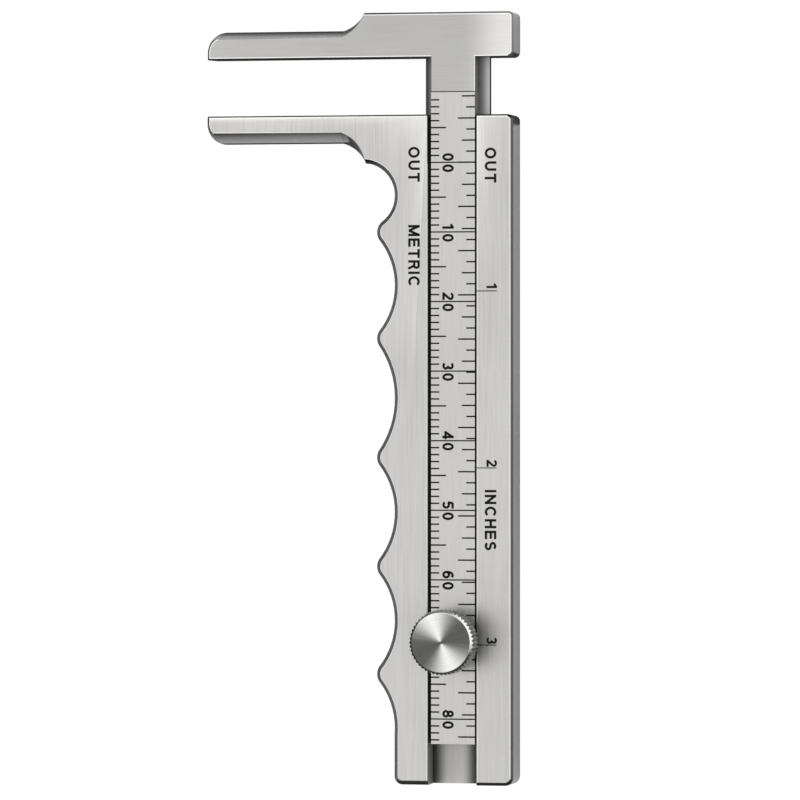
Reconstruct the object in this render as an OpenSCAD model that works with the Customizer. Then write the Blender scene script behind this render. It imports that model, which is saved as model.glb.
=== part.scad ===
// Slide caliper with two long flat jaws, a scalloped finger grip, a graduated slide and a clamp knob.
// It lies on its back: X runs to the right, Y runs from the open channel end to the head, Z faces the reader.

/* [Body] */
// Length of the body below the fixed measuring face
body_len = 96.4; // [92:0.1:110]
// Thickness of the two rails, front to back
body_t = 6; // [5.8:0.1:7]
// Slide centre line to the straight edge of the grip
grip_reach = 8.64; // [8.4:0.02:9.5]
// Slide centre line to the outer edge of the guide rail
guide_reach = 8.8; // [8.4:0.1:10]
// Bevel along the outer edges of the grip
grip_bevel = 0.6; // [0.3:0.05:0.7]
// Bevel along the outer edges of the guide rail
guide_bevel = 0.4; // [0.2:0.05:0.6]
// Broken edge along the slot and the measuring faces
edge_break = 0.12; // [0.06:0.01:0.2]
// Corner radius at the outer ends of the body
corner_r = 1.2; // [0.9:0.1:1.6]
// How far the guide rail stops short of the fixed measuring face
guide_drop = 0.05; // [0.02:0.01:0.3]
// Thickness of the back plate, which is the floor of the channel
plate_t = 1; // [0.9:0.05:1.2]
// Width of rail that hides each edge of the back plate
plate_rim = 1.2; // [1.1:0.05:1.4]

/* [Grip] */
// Slide centre line to the ridges between the finger scallops
peak_reach = 11.2; // [10.6:0.1:12]
// How far the scallops go in behind the straight edge
scallop_inset = 0.04; // [0.02:0.01:0.2]
// Nose radius of each ridge
nose_r = 2; // [1.6:0.1:2.2]
// Radius of the hook for the first finger
hook_r = 4.7; // [4.4:0.1:5]
// Fixed measuring face to the first ridge
first_peak = 16.9; // [16.6:0.1:18]
// Straight edge of the grip below the last scallop
grip_tail = 8.1; // [6:0.1:12]
// Parts that the scallops take of the rest, from the head down; the last one is the half that runs out
scallop_shares = [0.214, 0.24, 0.22, 0.217, 0.109]; // [0.1:0.001:0.26]

/* [Jaws] */
// Slide centre line to the jaw tips
jaw_reach = 36.9; // [28:0.1:45]
// Measuring face to the ridge along the outer side of each jaw
jaw_depth = 4; // [3.8:0.05:4.6]
// Flat front width of the fixed jaw
fixed_face = 2.45; // [2.2:0.05:3.2]
// Flat front width of the moving jaw
moving_face = 2.95; // [2.4:0.05:3.4]
// Tip radius of both jaws, seen from the front
tip_r = 3; // [2:0.1:3.4]
// Bevel round each tip, seen from the front
tip_bevel = 0.85; // [0.3:0.05:1.2]
// Slide centre line to the start of the shoulders
shoulder_x = 16.7; // [16.2:0.1:18]
// Shoulder radius below the fixed jaw
fixed_shoulder_r = 5; // [4.6:0.1:5.2]
// How far that arc starts beside its own centre line
fixed_shoulder_offset = 1.06; // [0.8:0.02:1.3]
// Shoulder radius above the moving jaw
moving_shoulder_r = 5.85; // [5.5:0.05:6.2]
// How far that arc starts beside its own centre line
moving_shoulder_offset = 1.72; // [1.4:0.02:2]
// Opening between the measuring faces at rest
opening = 8.3; // [3:0.1:20]

/* [Head] */
// Height of the head above its underside
head_h = 6.43; // [6:0.05:8]
// Corner radius at the right end of the head
head_corner_r = 0.8; // [0.5:0.1:1.2]
// Bevel round the head
head_bevel = 0.3; // [0.15:0.05:0.4]
// Length of the plain neck below the head
neck_len = 5.04; // [4:0.02:7]
// Depth of the pocket that holds the end of the runner
tenon_len = 4; // [3:0.1:4.5]
// Radius of the two pins that hold the runner in the head
head_pin_r = 0.75; // [0.5:0.05:0.9]
// Length of these pins
head_pin_len = 4.2; // [3.5:0.1:5]
// Slide centre line to each of these pins
head_pin_x = 2.8; // [2:0.1:3.2]

/* [Slide] */
// Width of the graduated bar
bar_w = 6.4; // [6.2:0.05:7]
// Length of the graduated bar
bar_len = 93.76; // [90:0.02:100]
// How far the bar lies below the front of the rails
bar_recess = 0.25; // [0.15:0.05:0.4]
// Slot play on the grip side of the bar
grip_side_gap = 0.45; // [0.2:0.05:0.6]
// Slot play on the guide side of the bar
guide_side_gap = 0.25; // [0.15:0.05:0.4]
// How far the runner sticks out on each side of the bar
flange = 1.5; // [1:0.05:1.5]
// Thickness of the runner
runner_t = 1.15; // [1:0.05:1.3]
// Play of the runner above, below and beside it
runner_play = 0.05; // [0.03:0.01:0.08]
// Clearance of pins, screws and let-in plates that do not move
fit = 0.02; // [0.01:0.01:0.03]

/* [Graduations] */
// Moving measuring face to the zero line
zero_drop = 15.2; // [14:0.1:18]
// One millimetre division
mm_step = 1; // [1:1:1]
// One inch on the guide rail and in the sixteenths
inch = 25.4; // [25.4:0.1:25.4]
// Depth of the engraving
mark_depth = 0.1; // [0.06:0.01:0.15]
// Stroke of a division
mark_w = 0.19; // [0.12:0.01:0.25]
// Stroke of the lines across the whole bar
tens_w = 0.14; // [0.1:0.01:0.2]
// Length of a short millimetre division
mm_short = 1.2; // [0.8:0.05:1.3]
// Length of a five millimetre division
mm_five = 2.2; // [1.4:0.05:2.3]
// Length of a sixteenth
sixteenth_l = 1.25; // [0.8:0.05:1.3]
// Length of an eighth
eighth_l = 1.9; // [1.4:0.05:2]
// Length of a quarter and of a half
quarter_l = 2.45; // [2.1:0.05:2.6]
// Length of the index line beside the slot
index_l = 0.9; // [0.5:0.1:1.5]
// Length of the inch lines on the guide rail
inch_l = 3; // [2:0.1:3.5]

/* [Clamp] */
// Axis of the knob to the open end of the slide
knob_from_end = 14.9; // [12:0.1:20]
// Diameter over the knurl
knob_d = 9.34; // [8:0.02:9.6]
// Height of the knurled disc
knob_h = 4.2; // [3:0.1:5]
// Bevel at both rims of the disc
knob_bevel = 0.42; // [0.2:0.02:0.5]
// Depth of the knurl
knurl_depth = 0.24; // [0.1:0.02:0.3]
// Number of teeth in the knurl
knurl_teeth = 48; // [36:1:60]
// Radius of the collar under the disc
collar_r = 2.5; // [2.2:0.1:3]
// Height of the collar
collar_h = 4.35; // [3:0.05:5]
// Gap between the collar and the bar when clamped
collar_gap = 0.3; // [0.2:0.05:0.5]
// Radius of the clamp screw
screw_r = 1.5; // [1.2:0.05:1.6]
// Running clearance of the clamp screw
screw_play = 0.05; // [0.03:0.01:0.08]
// Radius of the end of the clamp screw that turns in the shoe
screw_nose_r = 0.8; // [0.6:0.05:1]
// Length of that end
screw_nose_l = 0.5; // [0.3:0.05:0.6]
// Depth of clamp screw inside the disc
screw_grip = 2.7; // [2:0.1:2.9]
// Width of the clamp shoe
shoe_w = 4; // [3.6:0.1:4.4]
// Length of the clamp shoe
shoe_l = 5; // [4.5:0.1:5.5]
// Thickness of the clamp shoe
shoe_t = 0.9; // [0.8:0.05:0.95]
// Play round the clamp shoe
shoe_play = 0.1; // [0.05:0.01:0.12]
// Lift of the clamp shoe when the knob is backed off
shoe_lift = 0.75; // [0.4:0.05:0.8]
// Radius of the pin through the collar
cross_pin_r = 0.5; // [0.3:0.05:0.6]

/* [Spring] */
// Moving measuring face to the rivet of the drag spring
rivet_drop = 32; // [31:0.1:34]
// Free length of the bow of the drag spring
bow_len = 18; // [14:0.1:20]
// Length of the flat tab of the drag spring
tab_len = 4; // [3:0.1:5]
// Width of the drag spring
spring_w = 3.6; // [3:0.1:4.2]
// Thickness of the drag spring
spring_t = 0.25; // [0.15:0.05:0.3]
// Play round the drag spring
spring_play = 0.3; // [0.2:0.05:0.4]
// Radius of the rivet
rivet_r = 0.6; // [0.4:0.05:0.7]
// Radius of the rivet head
rivet_head_r = 1; // [0.8:0.05:1.2]
// Thickness of the rivet head
rivet_head_t = 0.3; // [0.2:0.05:0.35]
// Length of rivet in the bar
rivet_grip = 1.4; // [1:0.1:2]

/* [Fasteners] */
// Radius of the screw heads
head_r = 1.3; // [1.1:0.05:1.35]
// Height of the countersunk screw heads
screw_head_h = 0.6; // [0.5:0.05:0.7]
// Radius of the screw shanks
shank_r = 0.7; // [0.5:0.05:0.8]
// Length of the rail screws
rail_screw_len = 4; // [3:0.1:4.6]
// Length of the bar screws
bar_screw_len = 3.6; // [3:0.1:4]
// Width of the driver slots
slot_w = 0.35; // [0.25:0.05:0.4]
// Depth of the driver slots
slot_d = 0.3; // [0.2:0.05:0.35]
// Screws in each rail
rail_screws = 4; // [3:1:6]
// Distance of the first and last rail screw from the ends of the body
rail_screw_margin = 9; // [8:0.5:12]
// Edge of the back plate to the line of screws and dowels
screw_inset = 1.4; // [1.35:0.05:1.5]
// Distance of the bar screws from the moving measuring face
bar_screw_drops = [12, 24, 60, 74, 93]; // [10:0.5:96]
// Radius of the dowels
dowel_r = 0.6; // [0.4:0.05:0.7]
// Length of the dowels
dowel_len = 3.5; // [3:0.1:4.5]
// Distance of the dowels from the ends of the body
dowel_margin = 3.4; // [3:0.1:4]
// Radius of the stop pin that keeps the slide in the channel
stop_r = 0.5; // [0.35:0.05:0.6]
// Slide centre line to the stop pin
stop_x = 3.3; // [3.1:0.1:3.5]
// Fixed measuring face to the stop pin
stop_drop = 5; // [3:0.1:8]
// Depth of the groove for the stop pin in the runner
stop_groove = 0.7; // [0.5:0.05:0.8]
// Largest opening of the jaws
full_opening = 80; // [60:1:82]

/* [Hidden] */
$fn = 64;
over = 0.1;
// How far a rounding stands past the face that it runs into, so that they cross and don't just touch
lap = 0.012;

steel = "#c9c9c7";
dark_steel = "#8d8d8b";
brass = "#b08d4a";

// Front to back: the back plate, the runner with its play, the lips of the rails
runner_z = plate_t + runner_play;
bar_z = runner_z + runner_t;
lip_z = bar_z + runner_play;
bar_front = body_t - bar_recess;
bar_t = bar_front - bar_z;
runner_half = bar_w / 2 + flange;
channel_half = runner_half + 2 * runner_play;
grip_slot = bar_w / 2 + grip_side_gap;
guide_slot = bar_w / 2 + guide_side_gap;
grip_plate_x = grip_reach - plate_rim;
guide_plate_x = guide_reach - plate_rim;
bar_end = neck_len + bar_len;
knob_drop = bar_end - knob_from_end;

// Scallop i lies between ridge i and ridge i + 1, and scallop 0 is the hook above the first ridge
scallop_reach = grip_reach - scallop_inset;
ridge_depth = peak_reach - scallop_reach;
ridge_count = len(scallop_shares);
grip_len = body_len - first_peak - grip_tail;
function sum_to(list, n) = n <= 0 ? 0 : list[n - 1] + sum_to(list, n - 1);
function ridge_drop(i) = grip_len * sum_to(scallop_shares, i) / sum_to(scallop_shares, ridge_count);
function ridge_y(i) = -first_peak - ridge_drop(i);
function scallop_len(i) = (i < ridge_count ? 1 : 2) * (ridge_drop(i) - ridge_drop(i - 1));
function arc_r(chord) = (chord * chord / 4 + ridge_depth * ridge_depth) / (2 * ridge_depth) - nose_r;
function hook_rise() = sqrt(ridge_depth * (2 * (hook_r + nose_r) - ridge_depth));
function cut_r(i) = i == 0 ? hook_r : arc_r(scallop_len(i));
function cut_x(i) = -scallop_reach - cut_r(i);
function cut_y(i) = i == 0 ? ridge_y(0) + hook_rise() : ridge_y(i - 1) - scallop_len(i) / 2;
tail_y = cut_y(ridge_count);

// Clamp levels when the slide is clamped
shoe_z = plate_t + runner_play;
screw_end_z = shoe_z + shoe_t + fit;
collar_z = bar_front + collar_gap;
disc_z = collar_z + collar_h;
knob_top = disc_z + knob_h;
shoe_pocket_top = shoe_z + shoe_t + shoe_lift + shoe_play;
screw_top = disc_z + screw_grip;

// Drag spring: the bow is an arc that comes down from the bar almost to the back plate
bow_low = plate_t + runner_play;
bow_rise = bar_z - spring_t - runner_play - bow_low;
bow_r = (bow_len * bow_len / 4 + bow_rise * bow_rise) / (2 * bow_rise);
tab_top_y = -rivet_drop + tab_len / 2;
bow_mid_y = -rivet_drop - tab_len / 2 - bow_len / 2;

rail_screw_pitch = (body_len - 2 * rail_screw_margin) / (rail_screws - 1);
grip_screw_x = -grip_plate_x + screw_inset;
guide_screw_x = guide_plate_x - screw_inset;

// The origin is the middle of the whole part at rest, on the plane that it lies on
module placed() {
    translate([(jaw_reach - guide_reach) / 2, (body_len - opening - head_h) / 2, 0])
        children();
}

// Everything that slides is drawn from the moving measuring face
module on_slide() {
    placed()
        translate([0, opening, 0])
            children();
}

// Solid of revolution with a bevel at both ends; flare is -1 for a post and 1 for a cutter
module bevelled_round(r, bevel, t, flare) {
    end_r = r + flare * (bevel + over);
    rotate_extrude()
        polygon([
            [0, -over], [end_r, -over], [r, bevel],
            [r, t - bevel], [end_r, t + over], [0, t + over]
        ]);
}

// Removes the square corner outside a bevelled round corner whose centre is at (x, y)
module corner_cut(x, y, side_x, side_y, r, bevel, t) {
    translate([x, y, 0])
        difference() {
            translate([side_x > 0 ? 0 : -r - over, side_y > 0 ? 0 : -r - over, -over])
                cube([r + over, r + over, t + 2 * over]);
            bevelled_round(r, bevel, t, -1);
        }
}

// Square bar on its corner that bevels an edge along X
module bevel_x(from_x, to_x, y, z, bevel) {
    side = bevel * sqrt(2);
    translate([(from_x + to_x) / 2, y, z])
        rotate([45, 0, 0])
            cube([to_x - from_x, side, side], center = true);
}

// Square bar on its corner that bevels an edge along Y
module bevel_y(from_y, to_y, x, z, bevel) {
    side = bevel * sqrt(2);
    translate([x, (from_y + to_y) / 2, z])
        rotate([0, 45, 0])
            cube([side, to_y - from_y, side], center = true);
}

// Countersunk screw whose head is flush with z = 0 and whose shank points along +Z
module screw(length, grow) {
    rotate_extrude()
        polygon([
            [0, -grow], [head_r + grow, -grow], [head_r + grow, 0],
            [shank_r + grow, screw_head_h], [shank_r + grow, length + grow], [0, length + grow]
        ]);
}

module slotted_screw(length) {
    difference() {
        screw(length, 0);
        translate([0, 0, (slot_d - over) / 2])
            cube([2 * head_r + 2 * over, slot_w, slot_d + over], center = true);
    }
}

module at_rail_screws(x) {
    for (i = [0 : rail_screws - 1])
        translate([x, -rail_screw_margin - i * rail_screw_pitch, 0])
            children();
}

module at_dowels(x) {
    for (y = [-dowel_margin, dowel_margin - body_len])
        translate([x, y, 0])
            children();
}

// Straight jaw from the tip to the shoulder; the measuring face is at y = 0 and the jaw is below it
module jaw(face, t) {
    middle = t / 2;
    tip_x = -jaw_reach;
    arc_x = tip_x + tip_r - lap;
    arc_y = tip_r - jaw_depth;
    bevel_step = tip_bevel * (middle + over) / middle;
    difference() {
        translate([tip_x, 0, 0])
            rotate([90, 0, 90])
                linear_extrude(jaw_reach - shoulder_x + over)
                    polygon([[0, 0], [-face, 0], [-jaw_depth, middle], [-face, t], [0, t]]);
        // slope of the tip, front and back
        translate([0, over, 0])
            rotate([90, 0, 0])
                linear_extrude(jaw_depth + 2 * over)
                    polygon([
                        [tip_x - over, -over], [tip_x + bevel_step, -over], [tip_x, middle],
                        [tip_x + bevel_step, t + over], [tip_x - over, t + over]
                    ]);
        // rounded corner of the tip
        difference() {
            translate([tip_x - over, -jaw_depth - over, -over])
                cube([arc_x - tip_x + over, tip_r + over, t + 2 * over]);
            translate([arc_x, arc_y, 0])
                rotate_extrude()
                    polygon([
                        [0, -over], [tip_r - bevel_step, -over], [tip_r, middle],
                        [tip_r - bevel_step, t + over], [0, t + over]
                    ]);
        }
        for (z = [0, t])
            bevel_x(tip_x - over, 2 * over - shoulder_x, 0, z, edge_break);
    }
}

// Shoulder cutter: one leaning cylinder for the front half and its mirror for the back half
module shoulder_cut(face, r, offset, t) {
    middle = t / 2;
    lean = atan((jaw_depth - face) / middle);
    centre_y = lap - face - sqrt(r * r - offset * offset) / cos(lean);
    reach = 2 * t;
    for (side = [0, 1])
        translate([0, 0, middle])
            mirror([0, 0, side])
                translate([-shoulder_x - offset, centre_y, middle])
                    rotate([-lean, 0, 0])
                        cylinder(r = r, h = reach, center = true);
}

module grip_outline() {
    // web between the jaw and the grip; the shoulder and the hook leave only its upper right part
    translate([-shoulder_x, cut_y(0)])
        square([shoulder_x - grip_slot, -cut_y(0)]);
    translate([-peak_reach, tail_y])
        square([peak_reach - grip_slot, -tail_y]);
    translate([-grip_reach, -body_len])
        square([grip_reach - grip_slot, body_len]);
}

module finger_cuts() {
    for (i = [0 : ridge_count])
        translate([cut_x(i), cut_y(i), 0])
            bevelled_round(cut_r(i), grip_bevel, body_t, 1);
    // the wedge outside the nose of each ridge, between the centres of the two scallops beside it
    for (i = [0 : ridge_count - 1]) {
        nose = [nose_r - peak_reach, ridge_y(i)];
        above = [cut_x(i), cut_y(i)] - nose;
        below = [cut_x(i + 1), cut_y(i + 1)] - nose;
        difference() {
            translate([nose[0], nose[1], -over])
                linear_extrude(body_t + 2 * over)
                    polygon([[0, 0], above * 2 * nose_r / norm(above), below * 2 * nose_r / norm(below)]);
            translate([nose[0], nose[1], 0])
                bevelled_round(nose_r + lap, grip_bevel, body_t, -1);
        }
    }
}

// What both rails lose to the channel, the back plate and its fasteners; side is -1 or 1
module channel_cuts(side, slot_x, plate_x, screw_x) {
    mirror([side < 0 ? 1 : 0, 0, 0]) {
        translate([slot_x - over, -body_len - over, plate_t])
            cube([channel_half - slot_x + over, body_len + 2 * over, lip_z - plate_t]);
        translate([slot_x - over, -body_len - over, -over])
            cube([plate_x + fit - slot_x + over, body_len + 2 * over, plate_t + over]);
        bevel_y(-body_len - over, over, slot_x, body_t, edge_break);
    }
    at_rail_screws(screw_x)
        cylinder(r = shank_r + fit, h = rail_screw_len + fit);
    at_dowels(screw_x)
        cylinder(r = dowel_r + fit, h = dowel_len + fit);
}

// Jaw, web and grip with their outer sides finished and nothing yet cut for the channel
module grip_blank() {
    difference() {
        union() {
            jaw(fixed_face, body_t);
            difference() {
                linear_extrude(body_t)
                    grip_outline();
                shoulder_cut(fixed_face, fixed_shoulder_r, fixed_shoulder_offset, body_t);
                for (z = [0, body_t])
                    bevel_x(-shoulder_x - over, over - grip_slot, 0, z, edge_break);
            }
        }
        finger_cuts();
    }
}

module grip_rail() {
    placed()
        color(steel)
            difference() {
                grip_blank();
                channel_cuts(-1, grip_slot, grip_plate_x, grip_screw_x);
                corner_cut(corner_r - grip_reach, corner_r - body_len, -1, -1, corner_r, grip_bevel, body_t);
                for (z = [0, body_t]) {
                    bevel_y(-body_len - over, tail_y, -grip_reach, z, grip_bevel);
                    bevel_x(-grip_reach - over, over - grip_slot, -body_len, z, grip_bevel);
                }
                // index line
                translate([-grip_slot - index_l, -zero_drop - mark_w / 2, body_t - mark_depth])
                    cube([index_l + over, mark_w, mark_depth + over]);
            }
}

module guide_rail() {
    placed()
        color(steel)
            difference() {
                translate([guide_slot, -body_len, 0])
                    cube([guide_reach - guide_slot, body_len - guide_drop, body_t]);
                channel_cuts(1, guide_slot, guide_plate_x, guide_screw_x);
                corner_cut(guide_reach - corner_r, corner_r - body_len, 1, -1, corner_r, guide_bevel, body_t);
                corner_cut(guide_reach - head_corner_r, -guide_drop - head_corner_r, 1, 1,
                    head_corner_r, guide_bevel, body_t);
                for (z = [0, body_t]) {
                    bevel_y(-body_len - over, over, guide_reach, z, guide_bevel);
                    bevel_x(guide_slot - over, guide_reach + over, -body_len, z, guide_bevel);
                    bevel_x(guide_slot - over, guide_reach + over, -guide_drop, z, edge_break);
                }
                // one line for each whole inch from the top of the rail
                for (i = [1 : floor((body_len - corner_r) / inch)])
                    translate([guide_slot - over, -i * inch - tens_w / 2, body_t - mark_depth])
                        cube([inch_l + over, tens_w, mark_depth + over]);
            }
}

module back_plate() {
    placed()
        color(dark_steel)
            difference() {
                translate([-grip_plate_x, -body_len, 0])
                    cube([grip_plate_x + guide_plate_x, body_len - guide_drop, plate_t]);
                for (x = [grip_screw_x, guide_screw_x]) {
                    at_rail_screws(x)
                        screw(rail_screw_len, fit);
                    at_dowels(x)
                        translate([0, 0, -over])
                            cylinder(r = dowel_r + fit, h = plate_t + 2 * over);
                }
                translate([stop_x, -stop_drop, -over])
                    cylinder(r = stop_r + fit, h = plate_t + 2 * over);
            }
}

module stop_pin() {
    placed()
        color(dark_steel)
            translate([stop_x, -stop_drop, 0])
                cylinder(r = stop_r, h = runner_z + stop_groove - runner_play);
}

module rail_screw_set(x) {
    placed()
        color(dark_steel)
            at_rail_screws(x)
                slotted_screw(rail_screw_len);
}

module dowel_set(x) {
    placed()
        color(dark_steel)
            at_dowels(x)
                cylinder(r = dowel_r, h = dowel_len);
}

module at_head_pins() {
    for (side = [-1, 1])
        translate([side * head_pin_x, tenon_len / 2, 0])
            children();
}

module moving_jaw() {
    on_slide()
        color(steel)
            difference() {
                union() {
                    mirror([0, 1, 0])
                        jaw(moving_face, bar_front);
                    difference() {
                        translate([-shoulder_x, 0, 0])
                            cube([shoulder_x + guide_reach, head_h, bar_front]);
                        mirror([0, 1, 0])
                            shoulder_cut(moving_face, moving_shoulder_r, moving_shoulder_offset, bar_front);
                        corner_cut(guide_reach - head_corner_r, head_h - head_corner_r, 1, 1,
                            head_corner_r + lap, head_bevel, bar_front);
                        corner_cut(guide_reach - head_corner_r, head_corner_r, 1, -1,
                            head_corner_r + lap, head_bevel, bar_front);
                        for (z = [0, bar_front]) {
                            bevel_x(-shoulder_x - over, guide_reach + over, head_h, z, head_bevel);
                            bevel_y(-over, head_h + over, guide_reach, z, head_bevel);
                        }
                        // the underside is broken only beside the neck
                        for (span = [[-shoulder_x - over, -bar_w / 2], [bar_w / 2, guide_reach + over]])
                            bevel_x(span[0], span[1], 0, bar_front, edge_break);
                        bevel_x(-shoulder_x - over, guide_reach + over, 0, 0, edge_break);
                    }
                    translate([-bar_w / 2, -neck_len, bar_z])
                        cube([bar_w, neck_len + edge_break, bar_t]);
                }
                translate([-runner_half - fit, -over, runner_z - fit])
                    cube([2 * runner_half + 2 * fit, tenon_len + fit + over, runner_t + fit]);
                bevel_x(-bar_w / 2 - over, bar_w / 2 + over, -neck_len, bar_front, tens_w / 2);
                at_head_pins()
                    translate([0, 0, -over])
                        cylinder(r = head_pin_r + fit, h = head_pin_len + fit + over);
            }
}

module mm_marks() {
    first = ceil((neck_len - zero_drop + mark_w) / mm_step);
    last = floor((bar_end - zero_drop - mark_w) / mm_step);
    for (i = [first : last]) {
        stroke = i % 10 == 0 ? tens_w : mark_w;
        length = i % 10 == 0 ? bar_w + over : i % 5 == 0 ? mm_five : mm_short;
        translate([-bar_w / 2 - over, -zero_drop - i * mm_step - stroke / 2])
            square([length + over, stroke]);
    }
}

module inch_marks() {
    sixteenth = inch / 16;
    first = ceil((neck_len - zero_drop + mark_w) / sixteenth);
    last = floor((bar_end - zero_drop - mark_w) / sixteenth);
    for (i = [first : last]) {
        length = i % 4 == 0 ? quarter_l : i % 2 == 0 ? eighth_l : sixteenth_l;
        translate([bar_w / 2 - length, -zero_drop - i * sixteenth - mark_w / 2])
            square([length + over, mark_w]);
    }
}

module at_bar_screws() {
    for (drop = bar_screw_drops)
        translate([0, -drop, runner_z])
            children();
}

module scale_bar() {
    on_slide()
        color(steel)
            difference() {
                translate([-bar_w / 2, -bar_end, bar_z])
                    cube([bar_w, bar_len, bar_t]);
                translate([0, 0, bar_front - mark_depth])
                    linear_extrude(mark_depth + over) {
                        mm_marks();
                        inch_marks();
                    }
                bevel_x(-bar_w / 2 - over, bar_w / 2 + over, -neck_len, bar_front, tens_w / 2);
                translate([0, -knob_drop, bar_z - over])
                    cylinder(r = screw_r + screw_play, h = bar_t + 2 * over);
                translate([-shoe_w / 2 - shoe_play, -knob_drop - shoe_l / 2 - shoe_play, bar_z - over])
                    cube([shoe_w + 2 * shoe_play, shoe_l + 2 * shoe_play, shoe_pocket_top - bar_z + over]);
                at_bar_screws()
                    cylinder(r = shank_r + fit, h = bar_screw_len + fit);
                translate([0, -rivet_drop, bar_z - over])
                    cylinder(r = rivet_r + fit, h = rivet_grip + fit + over);
            }
}

module slide_runner() {
    window_w = spring_w + 2 * spring_play;
    window_l = tab_len + bow_len + 2 * spring_play;
    groove_w = 2 * stop_r + 4 * runner_play;
    on_slide()
        color(dark_steel)
            difference() {
                translate([-runner_half, -bar_end, runner_z])
                    cube([2 * runner_half, bar_end + tenon_len, runner_t]);
                at_bar_screws()
                    screw(bar_screw_len, fit);
                at_head_pins()
                    translate([0, 0, runner_z - over])
                        cylinder(r = head_pin_r + fit, h = runner_t + 2 * over);
                translate([-shoe_w / 2 - shoe_play, -knob_drop - shoe_l / 2 - shoe_play, runner_z - over])
                    cube([shoe_w + 2 * shoe_play, shoe_l + 2 * shoe_play, runner_t + 2 * over]);
                translate([-window_w / 2, tab_top_y + spring_play - window_l, runner_z - over])
                    cube([window_w, window_l, runner_t + 2 * over]);
                // groove whose ends meet the stop pin when the jaws are shut and when they are wide open
                translate([stop_x - groove_w / 2, -stop_drop - full_opening - groove_w / 2, runner_z - over])
                    cube([groove_w, full_opening + groove_w, stop_groove + over]);
            }
}

module bar_screws() {
    on_slide()
        color(dark_steel)
            at_bar_screws()
                slotted_screw(bar_screw_len);
}

module head_pins() {
    on_slide()
        color(dark_steel)
            at_head_pins()
                cylinder(r = head_pin_r, h = head_pin_len);
}

module drag_spring() {
    on_slide()
        color(dark_steel)
            difference() {
                union() {
                    translate([-spring_w / 2, tab_top_y - tab_len, bar_z - spring_t])
                        cube([spring_w, tab_len, spring_t]);
                    intersection() {
                        translate([0, bow_mid_y, bow_low + bow_r])
                            rotate([0, 90, 0])
                                difference() {
                                    cylinder(r = bow_r, h = spring_w, center = true);
                                    cylinder(r = bow_r - spring_t, h = spring_w + 2 * over, center = true);
                                }
                        translate([-spring_w / 2 - over, bow_mid_y - bow_len / 2, bow_low - over])
                            cube([spring_w + 2 * over, bow_len + over, bow_rise + spring_t + over]);
                    }
                }
                translate([0, -rivet_drop, bar_z - spring_t - over])
                    cylinder(r = rivet_r + fit, h = spring_t + 2 * over);
            }
}

module spring_rivet() {
    tab_z = bar_z - spring_t;
    on_slide()
        color(brass)
            translate([0, -rivet_drop, tab_z - rivet_head_t])
                rotate_extrude()
                    polygon([
                        [0, 0], [rivet_head_r, 0], [rivet_head_r, rivet_head_t], [rivet_r, rivet_head_t],
                        [rivet_r, rivet_head_t + spring_t + rivet_grip], [0, rivet_head_t + spring_t + rivet_grip]
                    ]);
}

module clamp_shoe() {
    on_slide()
        color(brass)
            translate([0, -knob_drop, shoe_z])
                difference() {
                    translate([-shoe_w / 2, -shoe_l / 2, 0])
                        cube([shoe_w, shoe_l, shoe_t]);
                    translate([0, 0, shoe_t - screw_nose_l])
                        cylinder(r = screw_nose_r + screw_play, h = screw_nose_l + over);
                }
}

module clamp_screw() {
    on_slide()
        color(steel)
            translate([0, -knob_drop, 0])
                difference() {
                    union() {
                        translate([0, 0, screw_end_z])
                            cylinder(r = screw_r, h = screw_top - screw_end_z);
                        translate([0, 0, screw_end_z - screw_nose_l])
                            cylinder(r = screw_nose_r, h = screw_nose_l + over);
                    }
                    cross_hole();
                }
}

module cross_hole() {
    translate([0, 0, collar_z + collar_h / 2])
        rotate([0, 90, 0])
            cylinder(r = cross_pin_r + fit, h = 2 * collar_r + 2 * over, center = true);
}

module clamp_knob() {
    disc_r = knob_d / 2;
    tooth = 360 / knurl_teeth;
    on_slide()
        color(steel)
            translate([0, -knob_drop, 0])
                difference() {
                    union() {
                        intersection() {
                            translate([0, 0, disc_z])
                                linear_extrude(knob_h)
                                    polygon([
                                        for (i = [0 : 2 * knurl_teeth - 1])
                                            let (r = disc_r - (i % 2) * knurl_depth)
                                                [r * cos(i * tooth / 2), r * sin(i * tooth / 2)]
                                    ]);
                            translate([0, 0, disc_z])
                                bevelled_round(disc_r + over, knob_bevel + over, knob_h, -1);
                        }
                        translate([0, 0, collar_z])
                            cylinder(r = collar_r, h = collar_h + over);
                    }
                    translate([0, 0, collar_z - over])
                        cylinder(r = screw_r + fit, h = screw_top + fit - collar_z + over);
                    cross_hole();
                }
}

module knob_pin() {
    on_slide()
        color(dark_steel)
            translate([0, -knob_drop, collar_z + collar_h / 2])
                rotate([0, 90, 0])
                    cylinder(r = cross_pin_r, h = 2 * collar_r - over, center = true);
}

grip_rail();
guide_rail();
back_plate();
rail_screw_set(grip_screw_x);  // grip_rail_screws
rail_screw_set(guide_screw_x);  // guide_rail_screws
dowel_set(grip_screw_x);  // grip_rail_dowels
dowel_set(guide_screw_x);  // guide_rail_dowels
stop_pin();
moving_jaw();
scale_bar();
slide_runner();
bar_screws();
head_pins();
drag_spring();
spring_rivet();
clamp_shoe();
clamp_screw();
clamp_knob();
knob_pin();
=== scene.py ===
"""Looks of the slide caliper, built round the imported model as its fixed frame.

The steel of each part gets the finish of its own machining: rails brushed along the slide, jaws brushed along
the jaws, a satin slide, a turned knob. Numerals, words and lines are thin black paint. Every length in the
classes is in millimetres; meshes are built in metres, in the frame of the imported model.
"""

import logging
import math
from dataclasses import dataclass, field
from enum import Enum
from typing import Callable

import bmesh
import bpy
from bpy.types import Material, Node, NodeSocket, NodeTree, Object
from mathutils import Matrix, Vector


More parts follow.
